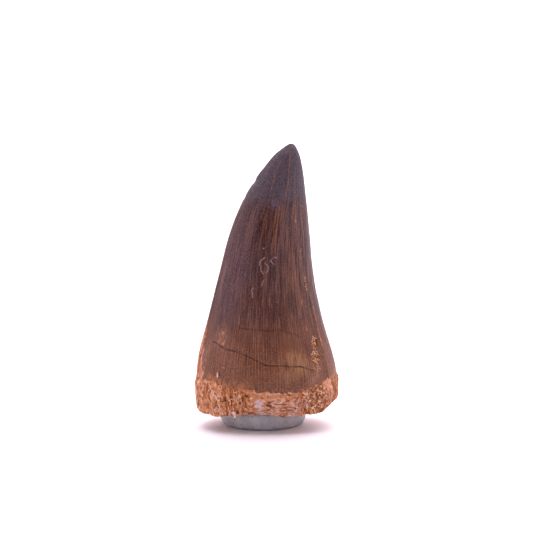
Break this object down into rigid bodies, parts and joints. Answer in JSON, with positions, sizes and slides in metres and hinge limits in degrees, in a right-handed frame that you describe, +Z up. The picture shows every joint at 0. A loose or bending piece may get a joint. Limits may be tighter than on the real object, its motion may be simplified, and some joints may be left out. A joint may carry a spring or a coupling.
{
  "type": "fossil mosasaur tooth",
  "caption": "Tall, slightly curved fossil reptile tooth with rough matrix round its broken base, stood upright on a pressed wad of display putty.",
  "frame": {"origin": "middle of the putty wad's flat foot, on the surface that it stands on", "axes": "+Z up along the tooth, from its broken base to its tip; +X towards the tooth's back (concave) edge; -Y towards the lip side that the picture shows"},
  "size_m": [0.0232, 0.0168, 0.0453],
  "materials": {
    "fossil_tooth": "satin brown fossil enamel with fine lengthwise ridges, over a rough orange matrix band",
    "display_putty": "matte grey putty"
  },
  "bodies": {
    "root": {"tooth": "fossil_tooth", "putty_wad": "display_putty"}
  },
  "joints": []
}
